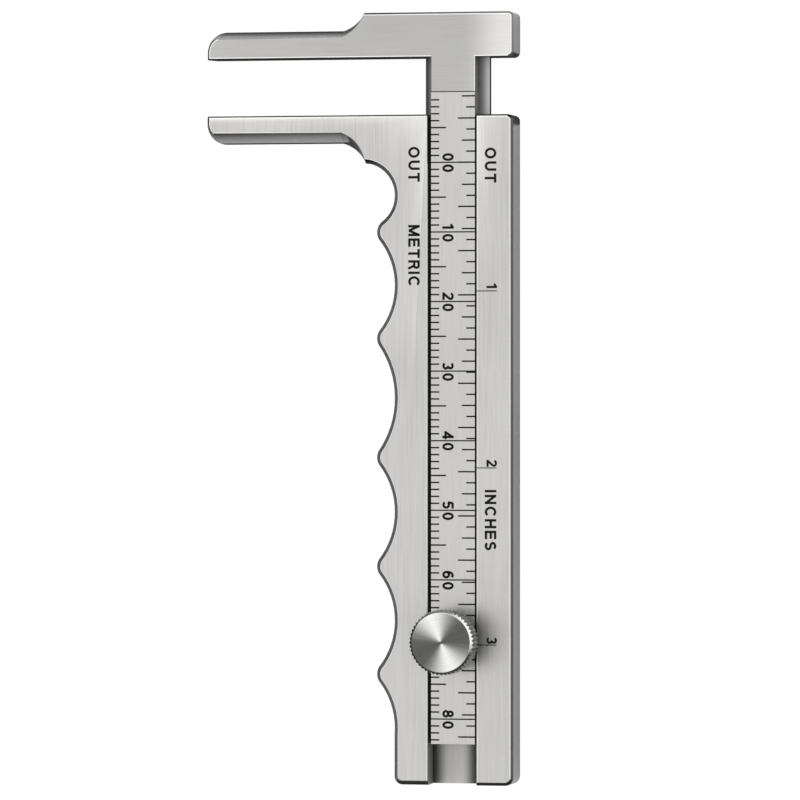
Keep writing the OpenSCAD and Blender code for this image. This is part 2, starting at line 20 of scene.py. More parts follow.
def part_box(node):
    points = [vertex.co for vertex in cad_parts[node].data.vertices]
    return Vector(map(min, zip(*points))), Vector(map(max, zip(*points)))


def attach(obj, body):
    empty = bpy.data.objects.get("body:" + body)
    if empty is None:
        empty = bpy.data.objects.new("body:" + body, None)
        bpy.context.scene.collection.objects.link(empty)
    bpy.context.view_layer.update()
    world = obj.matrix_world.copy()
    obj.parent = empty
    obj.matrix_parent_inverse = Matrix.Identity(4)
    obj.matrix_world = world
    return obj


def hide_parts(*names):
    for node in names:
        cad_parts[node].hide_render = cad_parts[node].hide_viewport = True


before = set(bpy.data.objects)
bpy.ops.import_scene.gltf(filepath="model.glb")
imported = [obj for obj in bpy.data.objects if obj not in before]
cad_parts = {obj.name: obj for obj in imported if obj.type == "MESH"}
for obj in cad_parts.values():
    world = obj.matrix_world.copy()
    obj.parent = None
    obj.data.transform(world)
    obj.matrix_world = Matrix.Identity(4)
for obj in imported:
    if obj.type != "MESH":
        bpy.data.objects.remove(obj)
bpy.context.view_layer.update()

MM = 0.001
INCH = 25.4
# widths of the finished edges
JAW_EDGE = 0.2  # broken edge along a jaw's long bevel, painted bright as a highlight
HIGHLIGHT_EDGE = 0.07  # the other broken edges, painted bright as a highlight
END_CHAMFER = 0.32  # dark chamfer along the upper ends and round the tips
# how an edge or a face of a mesh is told from others
LONG_BEVEL = 8.0  # the front bevels of a jaw are longer
TIP_REACH = 3.5  # the round tip of a jaw is no longer
END_ZONE = 0.2  # an upper end's rim lies no further below the end
BUTT_ZONE = 0.1  # a butt end's rim lies no further above the end
NO_HIGHLIGHT_BELOW = -54.6  # Y of the lower ends, whose edges get no painted highlight
MARK_DEPTH = 0.15  # engraved marks are shallower
SAME = 0.001  # closer points are one point
SAME_PLANE = 0.2  # faces that turn by fewer degrees are one face
SMOOTH = 15.0  # and by fewer than these are shaded smooth
# how far a normal turns, from 0 to 1: to the front or back
FLAT = 0.97  # a level face, in a material
LEVEL = 0.95  # a level face, in a mesh
SLOPED = 0.3  # a bevel turns further, and a side less
UPRIGHT = 0.1  # the wall of an engraved mark turns less
BEVEL_TURN = 0.8  # along Y: the front bevel of a jaw turns further
TIP_TURN = 0.2  # along X: the side of a jaw's tip turns further
PROUD = 0.008  # marking paint stands this far over the face, and reaches as far into it
RELIEF = 0.02  # height of the fine marks in brushed and turned steel
NOISE = (0.3, 0.7)  # most of a noise texture lies in this range
Point = tuple[float, float]
# what feeds an input: an output, or a node for its first output in use
Source = NodeSocket | Node
log = logging.getLogger("slide_caliper")


class Grain(Enum):
    """Direction of the brush marks, as lengths of one mark along X, Y and Z in millimetres."""

    ACROSS = (9.0, 0.16, 0.16)
    ALONG = (0.16, 9.0, 0.16)
    GROUND = (0.3, 0.3, 0.3)


def linear(hex_colour: str) -> tuple[float, float, float, float]:
    """Turns an sRGB hex colour into a linear RGBA tuple.

    Args:
        hex_colour: The colour as six hex digits.

    Returns:
        The linear red, green, blue and an alpha of 1.
    """
    parts = [int(hex_colour[i : i + 2], 16) / 255 for i in (0, 2, 4)]
    red, green, blue = [c / 12.92 if c <= 0.04045 else ((c + 0.055) / 1.055) ** 2.4 for c in parts]
    return (red, green, blue, 1.0)


def add_node(tree: NodeTree, kind: str, inputs: dict | None = None, **settings: object) -> Node:
    """Adds one shader node, sets it up and links it.

    Args:
        tree: The node tree to add to.
        kind: The node's type name, without ShaderNode in front.
        inputs: Values or sources for the node's inputs, by name or index.
        settings: The node's own properties.

    Returns:
        The new node.
    """
    node = tree.nodes.new(f"ShaderNode{kind}")
    for name, value in settings.items():
        setattr(node, name, value)
    for name, value in (inputs or {}).items():
        if isinstance(value, Node):
            value = next(output for output in value.outputs if output.enabled)
        if isinstance(value, NodeSocket):
            tree.links.new(value, node.inputs[name])
        else:
            node.inputs[name].default_value = value
    return node


def new_material(name: str) -> tuple[Material, NodeTree]:
    """Makes an empty node material.

    Args:
        name: Its name.

    Returns:
        The material and its tree.
    """
    material = bpy.data.materials.new(name)
    material.use_nodes = True
    material.node_tree.nodes.clear()
    return material, material.node_tree


def facing(tree: NodeTree, least: float = FLAT) -> Source:
    """Adds a mask that is 1 on faces turned to the caliper's front or back.

    Args:
        tree: The material's tree.
        least: How far they turn there: the size of the normal's Z.

    Returns:
        The mask.
    """
    normal = add_node(tree, "NewGeometry").outputs["Normal"]
    parts = add_node(tree, "SeparateXYZ", {"Vector": normal})
    size = add_node(tree, "Math", {0: parts.outputs["Z"]}, operation="ABSOLUTE")
    return add_node(tree, "Math", {0: size, 1: least}, operation="GREATER_THAN")


def set_stops(ramp: Node, stops: list[tuple[float, tuple]]) -> None:
    """Sets the stops of a new colour ramp.

    Args:
        ramp: The ramp's node.
        stops: Place and linear colour of each stop, the first at 0 and the last at 1.
    """
    elements = ramp.color_ramp.elements
    for place, colour in stops[1:-1]:
        elements.new(place).color = colour
    elements[0].color = stops[0][1]
    elements[-1].color = stops[-1][1]


def heading(degrees: float) -> tuple[float, float, float]:
    """Returns the level unit vector at an angle from +X."""
    angle = math.radians(degrees)
    return (math.cos(angle), math.sin(angle), 0.0)


def channel_centre() -> float:
    """Returns the X of the slide's centre line, in metres."""
    low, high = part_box("scale_bar")
    return (low.x + high.x) / 2


def deselect() -> None:
    """Leaves nothing selected, so that an operator acts only on what follows."""
    bpy.ops.object.select_all(action="DESELECT")


def dress(piece: Object, material: Material) -> None:
    """Gives a piece one material in all its slots."""
    piece.data.materials.clear()
    piece.data.materials.append(material)


def dress_nodes(materials: dict[str, Material]) -> None:
    """Dresses the CAD nodes that keep their own mesh.

    Args:
        materials: The material of each node, by the node's name.
    """
    for node, material in materials.items():
        dress(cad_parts[node], material)
        log.info("%s dressed in %s", node, material.name)


def bevel_rims(
    piece: Object, width: float, material: int, chosen: Callable[..., bool], segments: int = 1
) -> None:
    """Bevels edges round the front face of a piece that is in edit mode.

    Args:
        piece: The piece.
        width: Width of the bevel in millimetres.
        material: Material index of the new faces.
        chosen: Takes an edge and the face beside it that isn't the front, and says whether to bevel it.
        segments: Number of faces across the bevel.
    """
    bpy.ops.mesh.select_all(action="DESELECT")
    mesh = bmesh.from_edit_mesh(piece.data)
    top = max(v.co.z for v in mesh.verts)
    for rim in mesh.edges:
        flank, front = sorted(rim.link_faces, key=lambda f: abs(f.normal.z))
        depth = top - min(v.co.z for v in flank.verts)
        engraved = abs(flank.normal.z) < UPRIGHT and depth < MARK_DEPTH * MM
        level = all(top - v.co.z < SAME * MM for v in rim.verts)
        sharp = abs(flank.normal.z) < LEVEL < abs(front.normal.z)
        if level and sharp and not engraved and flank.material_index == 0 and chosen(rim, flank):
            rim.select_set(True)
    bmesh.update_edit_mesh(piece.data)
    if any(rim.select for rim in mesh.edges):
        bpy.ops.mesh.bevel(
            offset=width * MM, segments=segments, affect="EDGES", material=material, clamp_overlap=True
        )


def finished_copy(
    node: str,
    name: str,
    materials: list[Material],
    edge: float,
    bright_bevels: bool = False,
    butt_end: bool = False,
    chamfer: float = 0.0,
    tip: bool = False,
) -> Object:
    """Copies a CAD node, cleans its mesh and breaks the edges round its front face.

    Args:
        node: The CAD node.
        name: Name of the new piece, which replaces the node.
        materials: The steel, then the polished metal of the broken edges, painted bright as a highlight.
        edge: Width of the broken edges in millimetres.
        bright_bevels: Whether the front bevels are polished and painted bright too.
        butt_end: Whether its lower end butts against another part, so that its edge stays sharp.
        chamfer: Width of a dark chamfer along its upper end, in millimetres.
        tip: Whether that chamfer also runs round the tip of a jaw, at its left end.

    Returns:
        The new piece.
    """
    piece = bpy.data.objects.new(name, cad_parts[node].data.copy())
    bpy.context.scene.collection.objects.link(piece)
    deselect()
    piece.select_set(True)
    bpy.context.view_layer.objects.active = piece
    piece.data.materials.clear()
    for material in materials:
        piece.data.materials.append(material)
    bpy.ops.object.mode_set(mode="EDIT")
    bpy.ops.mesh.select_all(action="SELECT")
    bpy.ops.mesh.customdata_custom_splitnormals_clear()
    bpy.ops.mesh.remove_doubles(threshold=SAME * MM)
    bpy.ops.mesh.dissolve_limited(angle_limit=math.radians(SAME_PLANE))
    low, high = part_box(node)
    upper = high.y - END_ZONE * MM
    end = low.y + BUTT_ZONE * MM
    tip_end = low.x + TIP_REACH * MM
    if chamfer:
        bevel_rims(
            piece,
            chamfer,
            0,
            lambda rim, flank: all(v.co.y > upper for v in rim.verts)
            or (tip and flank.normal.x < -TIP_TURN and all(v.co.x < tip_end for v in rim.verts)),
        )
    # the long bevels of the jaws meet the front in a wider broken edge, painted bright as a highlight
    bevel_rims(
        piece,
        JAW_EDGE,
        1,
        lambda rim, flank: flank.normal.z > SLOPED
        and abs(flank.normal.y) > BEVEL_TURN
        and rim.calc_length() > LONG_BEVEL * MM,
        segments=2,
    )
    bevel_rims(piece, edge, 1, lambda rim, flank: not (butt_end and all(v.co.y < end for v in rim.verts)))
    mesh = bmesh.from_edit_mesh(piece.data)
    for face in mesh.faces:
        if bright_bevels and SLOPED < face.normal.z < LEVEL:
            face.material_index = 1
        if face.material_index == 1 and face.calc_center_median().y < NO_HIGHLIGHT_BELOW * MM:
            face.material_index = 0
    bmesh.update_edit_mesh(piece.data)
    bpy.ops.object.mode_set(mode="OBJECT")
    bpy.ops.object.shade_smooth_by_angle(angle=math.radians(SMOOTH))
    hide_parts(node)
    return piece


@dataclass(frozen=True)
class PolishedHighlightEdge:
    """Stainless steel of the broken edges: polished, and painted brighter than the brushed faces beside them
    as a highlight.

    Attributes:
        name: Material name.
        colour: Colour of the steel.
        scuffed: Colour where it is scuffed.
        dull: Colour of the painted shade on the side turned away from the light.
        scuff: Size of the scuffs, in millimetres.
        roughness: Roughness of the rubbed metal.
        centre: Centre of a round edge that is painted bright on one side and shaded on the other, in metres.
        lit_side: Direction of the side with the painted highlight, in degrees.
    """

    name: str = "edge_highlight_steel"
    colour: str = "EAEAE8"
    scuffed: str = "D4D4D2"
    dull: str = "5A5A5A"
    scuff: float = 1.5
    roughness: float = 0.25
    centre: Vector | None = None
    lit_side: float = 62.0

    def shade_unlit_side(self, tree: NodeTree, place: Source, highlighted: Source) -> Source:
        """Adds painted shade on the side turned away from the light.

        Args:
            tree: The material's tree.
            place: Object coordinates in metres.
            highlighted: The colour with its painted highlight.

        Returns:
            The colour.
        """
        arm = add_node(tree, "VectorMath", {0: place, 1: tuple(self.centre)}, operation="SUBTRACT")
        spoke = add_node(tree, "VectorMath", {0: arm}, operation="NORMALIZE")
        along = add_node(
            tree, "VectorMath", {0: spoke, 1: heading(self.lit_side)}, operation="DOT_PRODUCT"
        )
        # the painted highlight starts at right angles to its direction and is full about 20 degrees on
        share = add_node(
            tree,
            "MapRange",
            {"Value": along, "From Min": 0.0, "From Max": 0.35},
            interpolation_type="SMOOTHSTEP",
        )
        return add_node(tree, "Mix", {"Factor": share, 6: linear(self.dull), 7: highlighted}, data_type="RGBA")

    def build(self) -> Material:
        """Builds the material.

        Returns:
            The material.
        """
        material, tree = new_material(self.name)
        place = add_node(tree, "TexCoord").outputs["Object"]
        scuffs = add_node(tree, "TexNoise", {"Vector": place, "Scale": 1 / (self.scuff * MM), "Detail": 3.0})
        # painted highlight: the broken edges are brighter than the brushed faces
        mixed = add_node(
            tree, "Mix", {"Factor": scuffs, 6: linear(self.scuffed), 7: linear(self.colour)}, data_type="RGBA"
        )
        # painted highlight and shade round a round edge, by direction from its centre
        if self.centre is not None:
            mixed = self.shade_unlit_side(tree, place, mixed)
        shader = add_node(
            tree, "BsdfPrincipled", {"Base Color": mixed, "Roughness": self.roughness, "Metallic": 1.0}
        )
        add_node(tree, "OutputMaterial", {"Surface": shader})
        return material


@dataclass(frozen=True)
class Fade:
    """A darker tone that runs out along one direction, in millimetres of the shared frame.

    Attributes:
        tone: What the colour is multiplied by where it is darkest.
        dark_at: Where it is darkest.
        clear_at: Where it has run out.
    """

    tone: str
    dark_at: float
    clear_at: float

    def over(self, tree: NodeTree, place: Source, clear: Source | tuple) -> Source:
        """Adds the tone over a colour.

        Args:
            tree: The material's tree.
            place: The coordinate along which it fades, in metres.
            clear: The colour under it.

        Returns:
            The darkened colour.
        """
        share = add_node(
            tree,
            "MapRange",
            {
                "Value": place,
                "From Min": self.dark_at * MM,
                "From Max": self.clear_at * MM,
                "To Min": 1.0,
                "To Max": 0.0,
            },
            interpolation_type="SMOOTHSTEP",
        )
        return add_node(
            tree,
            "Mix",
            {"Factor": share, 6: clear, 7: linear(self.tone)},
            data_type="RGBA",
            blend_type="MULTIPLY",
        )


@dataclass(frozen=True)
class BrushedSteel:
    """Stainless steel with a satin brush finish: long fine marks that spread the reflections across them.

    Attributes:
        name: Material name.
        light: Colour of the ridges between the marks.
        dark: Colour in the marks.
        roughness: Lowest and highest roughness.
        grain: Direction of the marks.
        spread: Anisotropy of the reflection.
        relief: Strength of the marks' bump.
        drift: Over how many millimetres the tone drifts.
        drift_share: How much it drifts, as a share of the change from mark to mark.
        tones: The sums of marks and drift that give the dark and the light colour.
        flank: Colour of bevels and sides, painted darker than the brushed faces as shade.
        bevel: Colour of the bevels, where it isn't that of the sides.
        flank_shade_and_highlight: Painted shade and highlight on the flanks along Y, from low to high, in
            millimetres.
        tones_end: X up to which that painted shade and highlight hold, in millimetres.
        bevel_shades: Painted shade on the bevels along Y, where the tones above don't hold.
        face_shades: Painted shade on the brushed faces, along X from the slide's centre line.
    """

    name: str
    light: str
    dark: str
    roughness: tuple[float, float]
    grain: Grain
    spread: float = 0.5
    relief: float = 0.12
    drift: float = 14.0
    drift_share: float = 5 / 6
    tones: tuple[float, float] = (0.4, 1.2)
    flank: str = "7F7F7F"
    bevel: str = ""
    flank_shade_and_highlight: tuple[tuple[float, str], ...] = ()
    tones_end: float = 30.0
    bevel_shades: tuple[Fade, ...] = ()
    face_shades: tuple[Fade, ...] = ()

    def marks(self, tree: NodeTree, place: Source) -> Source:
        """Adds the brush marks as stretched noise.

        Args:
            tree: The material's tree.
            place: Object coordinates in metres.

        Returns:
            The mark pattern, from 0 to 1.
        """
        stretch = tuple(1.0 / (length * MM) for length in self.grain.value)
        mapped = add_node(tree, "Mapping", {"Vector": place, "Scale": stretch})
        return add_node(tree, "TexNoise", {"Vector": mapped, "Scale": 1.0, "Detail": 3.0, "Roughness": 0.6})

    def flank_colour(self, tree: NodeTree, parts: Node) -> Source:
        """Adds the colour of sides and bevels, with their painted shade and highlight.

        Args:
            tree: The material's tree.
            parts: The node that gives X, Y and Z.

        Returns:
            The colour.
        """
        bevel: Source | tuple = linear(self.bevel or self.flank)
        # painted shade on the bevels along Y
        for fade in self.bevel_shades:
            bevel = fade.over(tree, parts.outputs["Y"], bevel)
        # painted shade: the sides and bevels get darker colours than the brushed faces
        slope = facing(tree, SLOPED)
        flank = add_node(tree, "Mix", {"Factor": slope, 6: linear(self.flank), 7: bevel}, data_type="RGBA")
        if not self.flank_shade_and_highlight:
            return flank
        # painted shade and highlight on the flanks along Y, across the jaws
        first, last = self.flank_shade_and_highlight[0][0], self.flank_shade_and_highlight[-1][0]
        share = add_node(
            tree, "MapRange", {"Value": parts.outputs["Y"], "From Min": first * MM, "From Max": last * MM}
        )
        ramp = add_node(tree, "ValToRGB", {"Fac": share})
        span = last - first
        set_stops(ramp, [((height - first) / span, linear(tone)) for height, tone in self.flank_shade_and_highlight])
        left = add_node(tree, "Math", {0: parts.outputs["X"], 1: self.tones_end * MM}, operation="LESS_THAN")
        return add_node(tree, "Mix", {"Factor": left, 6: flank, 7: ramp}, data_type="RGBA")

    def colour(self, tree: NodeTree, place: Source, marks: Source) -> Source:
        """Adds the colour: brushed faces that drift in tone, with any painted shade along X, over flanks
        painted darker as shade.

        Args:
            tree: The material's tree.
            place: Object coordinates in metres.
            marks: The mark pattern.

        Returns:
            The colour.
        """
        drift = add_node(tree, "TexNoise", {"Vector": place, "Scale": 1 / (self.drift * MM), "Detail": 1.0})
        tone = add_node(tree, "Math", {0: drift, 1: self.drift_share, 2: marks}, operation="MULTIPLY_ADD")
        level = add_node(
            tree, "MapRange", {"Value": tone, "From Min": self.tones[0], "From Max": self.tones[1]}
        )
        brushed = add_node(
            tree, "Mix", {"Factor": level, 6: linear(self.dark), 7: linear(self.light)}, data_type="RGBA"
        )
        parts = add_node(tree, "SeparateXYZ", {"Vector": place})
        # painted shade across the brushed faces, along X
        if self.face_shades:
            shift = add_node(tree, "Math", {0: parts.outputs["X"], 1: channel_centre()}, operation="SUBTRACT")
            for fade in self.face_shades:
                brushed = fade.over(tree, shift, brushed)
        flank = self.flank_colour(tree, parts)
        return add_node(tree, "Mix", {"Factor": facing(tree), 6: flank, 7: brushed}, data_type="RGBA")

    def build(self) -> Material:
        """Builds the material.

        Returns:
            The material.
        """
        material, tree = new_material(self.name)
        place = add_node(tree, "TexCoord").outputs["Object"]
        marks = self.marks(tree, place)
        low, high = self.roughness
        rough = add_node(
            tree,
            "MapRange",
            {"Value": marks, "From Min": NOISE[0], "From Max": NOISE[1], "To Min": low, "To Max": high},
        )
        bump = add_node(tree, "Bump", {"Height": marks, "Strength": self.relief, "Distance": RELIEF * MM})
        inputs = {
            "Base Color": self.colour(tree, place, marks),
            "Roughness": rough,
            "Normal": bump,
            "Metallic": 1.0,
            "Anisotropic": self.spread,
        }
        # the marks spread the highlights across themselves, so the tangent lies across them
        if self.grain is not Grain.GROUND:
            across = (0.0, 1.0, 0.0) if self.grain is Grain.ACROSS else (1.0, 0.0, 0.0)
            inputs["Tangent"] = add_node(tree, "CombineXYZ", dict(zip("XYZ", across)))
        shader = add_node(tree, "BsdfPrincipled", inputs)
        add_node(tree, "OutputMaterial", {"Surface": shader})
        return material


@dataclass(frozen=True)
class TurnedPart(BrushedSteel):
    """Metal of screws, pins and pads, turned or ground: an even satin sheen with no direction of its own."""

    light: str = "B4B4B2"
    dark: str = "9C9C9A"
    roughness: tuple[float, float] = (0.3, 0.4)
    grain: Grain = Grain.GROUND
    spread: float = 0.2


@dataclass(frozen=True)
class EngravedSteel(BrushedSteel):
    """Brushed steel whose engraved marks are filled with black paint.

    Attributes:
        paint: Colour of the paint.
        low: Lowest corner of the region that holds the marks.
        high: Highest corner of it; the marks' floors lie inside the region and the face lies above it.
    """

    paint: str = "121212"
    low: Vector = field(default_factory=Vector)
    high: Vector = field(default_factory=Vector)

    def colour(self, tree: NodeTree, place: Source, marks: Source) -> Source:
        """Adds the steel's colour, then lays the paint into the region of the engraved marks.

        Args:
            tree: The material's tree.
            place: Object coordinates in metres.
            marks: The pattern of the brush marks.

        Returns:
            The colour.
        """
        bare = super().colour(tree, place, marks)
        parts = add_node(tree, "SeparateXYZ", {"Vector": place})
        inside: Source | float = 1.0
        for axis in range(3):
            middle = (self.low[axis] + self.high[axis]) / 2
            half = (self.high[axis] - self.low[axis]) / 2
            near = add_node(tree, "Math", {0: parts.outputs[axis], 1: middle, 2: half}, operation="COMPARE")
            inside = add_node(tree, "Math", {0: inside, 1: near}, operation="MULTIPLY")
        return add_node(tree, "Mix", {"Factor": inside, 6: bare, 7: linear(self.paint)}, data_type="RGBA")


@dataclass(frozen=True)
class TurnedSteel:
    """Stainless steel faced on a lathe: fine rings, with bright and dark sectors painted across the face as
    its sheen.

    Attributes:
        name: Material name.
        light: Colour of the bright sectors of the painted sheen.
        dark: Colour of the dull sectors of the painted sheen.
        centre: The turning axis, in metres.
        radius: Radius over the teeth of the knurl, in millimetres.
        unshaded_from: Z above which the knob has no painted shade, in millimetres.
        shade_reach: Height over which the painted shade runs out below that, in millimetres.
        tooth: Depth of the knurl, in millimetres.
        root_shade: How much of that depth carries the painted shade of the roots, from the root out.
        collar: Radius within which the side has no teeth, as a share of the radius.
        pip: Radii between which the dull pip on the axis runs out, in millimetres.
        pitch: Distance between the rings, drawn coarse enough to show.
        ring_tones: Tones of the darkest and the brightest ring, a painted sheen.
        streaks: Strength of the streaks in the painted sectors.
        painted_sheen_angle: Direction of the bright sectors of the painted sheen, in degrees.
        roughness: Lowest and highest roughness.
        spread: Anisotropy of the reflection.
    """

    name: str
    light: str
    dark: str
    centre: Vector
    radius: float
    unshaded_from: float
    shade_reach: float = 2.2
    tooth: float = 0.24
    root_shade: float = 0.9
    collar: float = 0.75
    pip: tuple[float, float] = (0.08, 0.35)
    pitch: float = 0.2
    ring_tones: tuple[float, float] = (0.92, 1.03)
    streaks: float = 0.16
    painted_sheen_angle: float = 113.5
    roughness: tuple[float, float] = (0.26, 0.34)
    spread: float = 0.85

    def sectors(self, tree: NodeTree, spoke: Source) -> Source:
        """Adds the painted sheen of the turned face by direction: two bright sectors, two dull ones, fine
        streaks.

        Args:
            tree: The material's tree.
            spoke: Unit vector from the axis.

        Returns:
            The tone, from 0 to 1.
        """
        along = add_node(
            tree, "VectorMath", {0: spoke, 1: heading(self.painted_sheen_angle)}, operation="DOT_PRODUCT"
        )
        square = add_node(tree, "Math", {0: along, 1: along}, operation="MULTIPLY")
        glare = add_node(tree, "Math", {0: square, 1: square}, operation="MULTIPLY")
        half = self.streaks / 2
        # they fan out from the axis, and at the rim one is about a seventh of the radius wide
        streaks = add_node(tree, "TexNoise", {"Vector": spoke, "Scale": 7.0, "Detail": 4.0, "Roughness": 0.7})
        tone = add_node(tree, "Math", {0: streaks, 1: self.streaks, 2: glare}, operation="MULTIPLY_ADD")
        return add_node(tree, "MapRange", {"Value": tone, "From Min": half, "From Max": 1 + half})

    def build(self) -> Material:
        """Builds the material.

        Returns:
            The material.
        """
        material, tree = new_material(self.name)
        place = add_node(tree, "TexCoord").outputs["Object"]
        arm = add_node(
            tree, "VectorMath", {0: place, 1: (self.centre.x, self.centre.y, 0.0)}, operation="SUBTRACT"
        )
        flat = add_node(tree, "VectorMath", {0: arm, 1: (1.0, 1.0, 0.0)}, operation="MULTIPLY")
        spoke = add_node(tree, "VectorMath", {0: flat}, operation="NORMALIZE")
        radius = add_node(tree, "VectorMath", {0: flat}, operation="LENGTH")
        turns = add_node(tree, "Math", {0: radius, 1: 1 / (self.pitch * MM)}, operation="MULTIPLY")
        rings = add_node(tree, "TexNoise", {"W": turns, "Scale": 1.0, "Detail": 2.0}, noise_dimensions="1D")
        # painted sheen: bright and dark sectors across the turned face
        face = add_node(
            tree,
            "Mix",
            {"Factor": self.sectors(tree, spoke), 6: linear(self.dark), 7: linear(self.light)},
            data_type="RGBA",
        )
        # painted sheen: the rings take turns in catching the light
        dim, lit = self.ring_tones
        tones = add_node(
            tree,
            "MapRange",
            {"Value": rings, "From Min": NOISE[0], "From Max": NOISE[1], "To Min": dim, "To Max": lit},
        )
        ringed = add_node(
            tree, "Mix", {"Factor": 1.0, 6: face, 7: tones}, data_type="RGBA", blend_type="MULTIPLY"
        )
        # the facing tool leaves a small dull pip on the axis
        pip = Fade("808080", *self.pip).over(tree, radius, ringed)
        # painted shade: the knurl is dark all over and darkest at the roots of its teeth
        root = self.radius - self.root_shade * self.tooth
        teeth = Fade("1E1E1E", root, self.radius).over(tree, radius, linear("50504E"))
        # the collar under the disc has no teeth
        inner = add_node(tree, "Math", {0: radius, 1: self.collar * self.radius * MM}, operation="LESS_THAN")
        side = add_node(tree, "Mix", {"Factor": inner, 6: teeth, 7: linear("B0B0AE")}, data_type="RGBA")
        bare = add_node(tree, "Mix", {"Factor": facing(tree), 6: side, 7: pip}, data_type="RGBA")
        # painted shade on the lower part of the knob and under its disc, darkest lowest down
        height = add_node(tree, "SeparateXYZ", {"Vector": place}).outputs["Z"]
        mixed = Fade("585858", self.unshaded_from - self.shade_reach, self.unshaded_from).over(tree, height, bare)
        low, high = self.roughness
        rough = add_node(tree, "MapRange", {"Value": rings, "To Min": low, "To Max": high})
        bump = add_node(tree, "Bump", {"Height": rings, "Strength": 0.15, "Distance": RELIEF * MM})
        shader = add_node(
            tree,
            "BsdfPrincipled",
            {
                "Base Color": mixed,
                "Roughness": rough,
                "Normal": bump,
                "Metallic": 1.0,
                "Anisotropic": self.spread,
                "Tangent": spoke,
            },
        )
        add_node(tree, "OutputMaterial", {"Surface": shader})
        return material


@dataclass(frozen=True)
class BlackPaint:
    """Baked black marking paint: matt, with a slightly uneven surface.

    Attributes:
        name: Material name.
        low: Colour in the hollows of its surface.
        high: Colour on the crests.
        speckle: Size of the hollows, in millimetres.
        roughness: Roughness of the paint.
    """

    name: str = "black_marking_paint"
    low: str = "050505"
    high: str = "121212"
    speckle: float = 0.12
    roughness: float = 0.55

    def build(self) -> Material:
        """Builds the material.

        Returns:
            The material.
        """
        material, tree = new_material(self.name)
        place = add_node(tree, "TexCoord").outputs["Object"]
        speckle = add_node(
            tree, "TexNoise", {"Vector": place, "Scale": 1 / (self.speckle * MM), "Detail": 2.0}
        )
        mixed = add_node(
            tree, "Mix", {"Factor": speckle, 6: linear(self.low), 7: linear(self.high)}, data_type="RGBA"
        )
        bump = add_node(tree, "Bump", {"Height": speckle, "Strength": 0.1, "Distance": 0.01 * MM})
        shader = add_node(
            tree,
            "BsdfPrincipled",
            {
                "Base Color": mixed,
                "Roughness": self.roughness,
                "Normal": bump,
                "IOR": 1.5,
                "Specular IOR Level": 0.12,
            },
        )
        add_node(tree, "OutputMaterial", {"Surface": shader})
        return material


def arc(x: float, y: float, radius_x: float, radius_y: float, start: float, end: float) -> list[Point]:
    """Samples part of an ellipse.

    Args:
        x: Centre.
        y: Centre.
        radius_x: Half the ellipse's width.
        radius_y: Half its height.
        start: Angle of the first point in degrees.
        end: Angle of the last one; less than start runs clockwise.

    Returns:
        The points.
    """
    # one step for every 12 degrees
    steps = max(4, round(abs(end - start) / 12))
    angles = [math.radians(start + (end - start) * i / steps) for i in range(steps + 1)]
    return [(x + radius_x * math.cos(a), y + radius_y * math.sin(a)) for a in angles]


